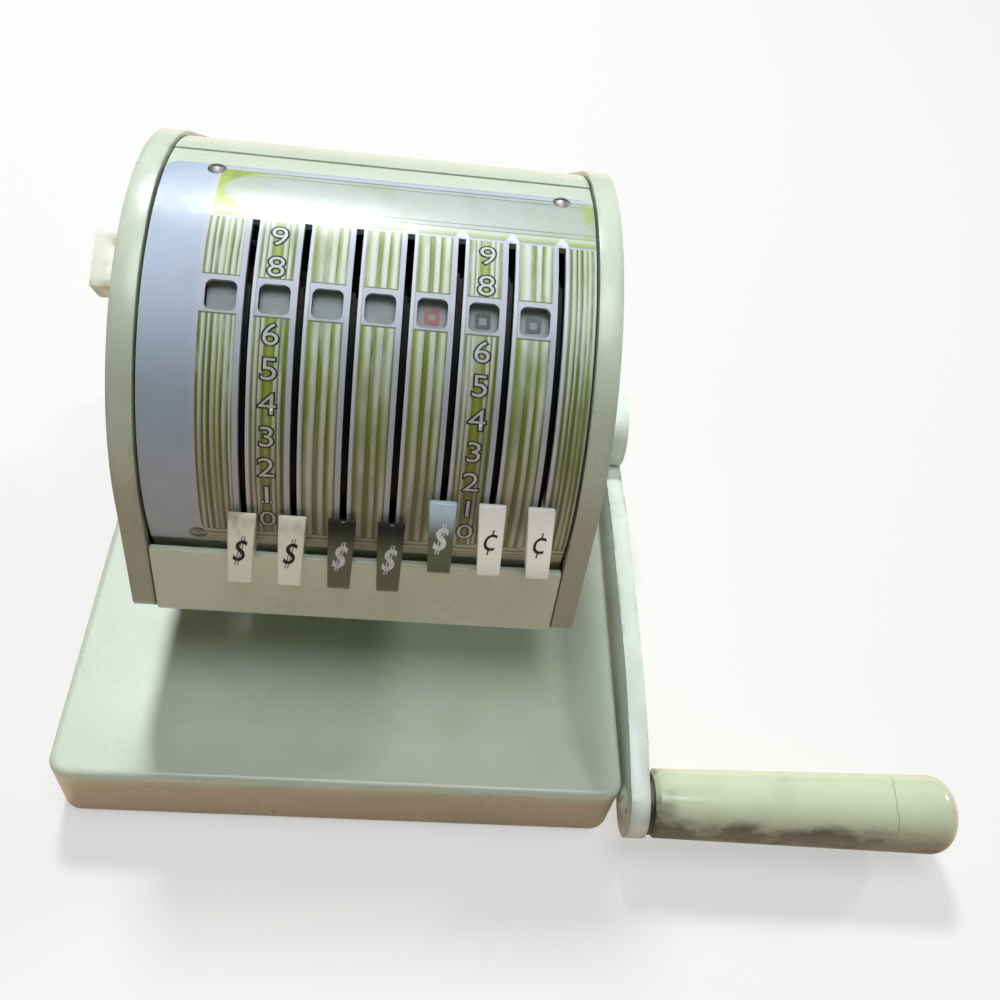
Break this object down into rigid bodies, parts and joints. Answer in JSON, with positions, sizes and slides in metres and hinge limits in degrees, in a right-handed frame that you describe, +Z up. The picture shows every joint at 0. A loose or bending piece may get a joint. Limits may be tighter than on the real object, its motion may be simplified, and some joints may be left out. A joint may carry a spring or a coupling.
{
  "type": "check writer",
  "caption": "Desk check writer: a low base, a drum-shaped head with columns of key levers and dial windows, and a side lever handle that prints the set amount.",
  "frame": {"origin": "on the desk plane, below the middle of the base", "axes": "+X to the right along the handle's grip, +Y to the back of the machine, +Z up"},
  "size_m": [0.3325, 0.2426, 0.1921],
  "materials": {
    "enamel": "gloss enamel",
    "enamel_arm": "chipped gloss enamel",
    "face": "printed satin",
    "frame_steel": "plain",
    "steel": "satin",
    "dark_metal": "satin",
    "iron": "machined",
    "brass": "satin",
    "rubber": "matt",
    "ink": "matt, inked",
    "cream_plastic": "gloss",
    "olive_plastic": "gloss",
    "blue_plastic": "gloss"
  },
  "bodies": {
    "base": {"base_casting": "enamel", "bottom_plate": "dark_metal", "rubber_feet": "rubber", "foot_screws": "steel", "left_side_frame": "frame_steel", "right_side_frame": "frame_steel", "frame_bolts": "steel", "left_cheek": "enamel", "right_cheek": "enamel", "cheek_screws": "steel", "front_cover": "enamel", "face_plate": "face", "face_plate_screws": "steel", "lip_panel": "enamel", "throat_plate": "enamel", "throat_guard": "enamel", "rear_cover": "enamel", "rear_cover_screws": "steel", "main_shaft": "steel", "sector_washers": "steel", "detent_bar": "frame_steel", "detent_springs": "steel", "ink_roller_axle": "steel", "rocker_pin": "steel", "shaft_bushes": "brass", "return_spring": "steel"},
    "lever_1": {"type_sector_1": "steel", "key_cap_1": "cream_plastic"},
    "lever_2": {"type_sector_2": "steel", "key_cap_2": "cream_plastic"},
    "lever_3": {"type_sector_3": "steel", "key_cap_3": "olive_plastic"},
    "lever_4": {"type_sector_4": "steel", "key_cap_4": "olive_plastic"},
    "lever_5": {"type_sector_5": "steel", "key_cap_5": "blue_plastic"},
    "lever_6": {"type_sector_6": "steel", "key_cap_6": "cream_plastic"},
    "lever_7": {"type_sector_7": "steel", "key_cap_7": "cream_plastic"},
    "handle": {"handle_shaft": "steel", "drive_cam": "frame_steel", "arm_spacer": "frame_steel", "handle_arm": "enamel_arm", "hub_pin": "steel", "grip_ferrule": "dark_metal", "handle_grip": "cream_plastic", "grip_bolt": "steel"},
    "platen": {"platen": "iron", "platen_pad": "rubber"},
    "rocker": {"platen_rocker": "frame_steel"},
    "repeat": {"repeat_key": "cream_plastic"},
    "inker": {"ink_roller": "ink"}
  },
  "joints": [
    {"name": "lever_1_turn", "type": "hinge", "parent": "base", "child": "lever_1", "pos_m": [-0.0353, 0.012, 0.1146], "axis": [1, 0, 0], "range_deg": [-77.5, 0]},
    {"name": "lever_2_turn", "type": "hinge", "parent": "base", "child": "lever_2", "pos_m": [-0.0197, 0.012, 0.1146], "axis": [1, 0, 0], "range_deg": [-77.5, 0]},
    {"name": "lever_3_turn", "type": "hinge", "parent": "base", "child": "lever_3", "pos_m": [-0.0041, 0.012, 0.1146], "axis": [1, 0, 0], "range_deg": [-77.5, 0]},
    {"name": "lever_4_turn", "type": "hinge", "parent": "base", "child": "lever_4", "pos_m": [0.0115, 0.012, 0.1146], "axis": [1, 0, 0], "range_deg": [-77.5, 0]},
    {"name": "lever_5_turn", "type": "hinge", "parent": "base", "child": "lever_5", "pos_m": [0.0271, 0.012, 0.1146], "axis": [1, 0, 0], "range_deg": [-69.75, 7.75]},
    {"name": "lever_6_turn", "type": "hinge", "parent": "base", "child": "lever_6", "pos_m": [0.0427, 0.012, 0.1146], "axis": [1, 0, 0], "range_deg": [-69.75, 7.75]},
    {"name": "lever_7_turn", "type": "hinge", "parent": "base", "child": "lever_7", "pos_m": [0.0583, 0.012, 0.1146], "axis": [1, 0, 0], "range_deg": [-69.75, 7.75]},
    {"name": "handle_turn", "type": "hinge", "parent": "base", "child": "handle", "pos_m": [0, 0.051, 0.051], "axis": [1, 0, 0], "range_deg": [-65, 0]},
    {"name": "platen_lift", "type": "slide", "parent": "base", "child": "platen", "axis": [0, 0, 1], "range_m": [-0.0045, 0]},
    {"name": "rocker_turn", "type": "hinge", "parent": "base", "child": "rocker", "pos_m": [0.006, 0.032, 0.018], "axis": [1, 0, 0], "range_deg": [0, 12.5]},
    {"name": "repeat_turn", "type": "hinge", "parent": "base", "child": "repeat", "pos_m": [-0.0695, 0.012, 0.1146], "axis": [1, 0, 0], "range_deg": [0, 9], "stiffness_Nm_per_rad": 0.3, "springref_deg": -2.86},
    {"name": "ink_roller_spin", "type": "hinge", "parent": "base", "child": "inker", "pos_m": [0, 0.0805, 0.117], "axis": [1, 0, 0], "continuous": true}
  ],
  "couplings": [
    {"joint": "platen_lift", "follows": "handle_turn", "m_per_rad": 0.0035},
    {"joint": "rocker_turn", "follows": "handle_turn", "ratio": -0.177}
  ]
}
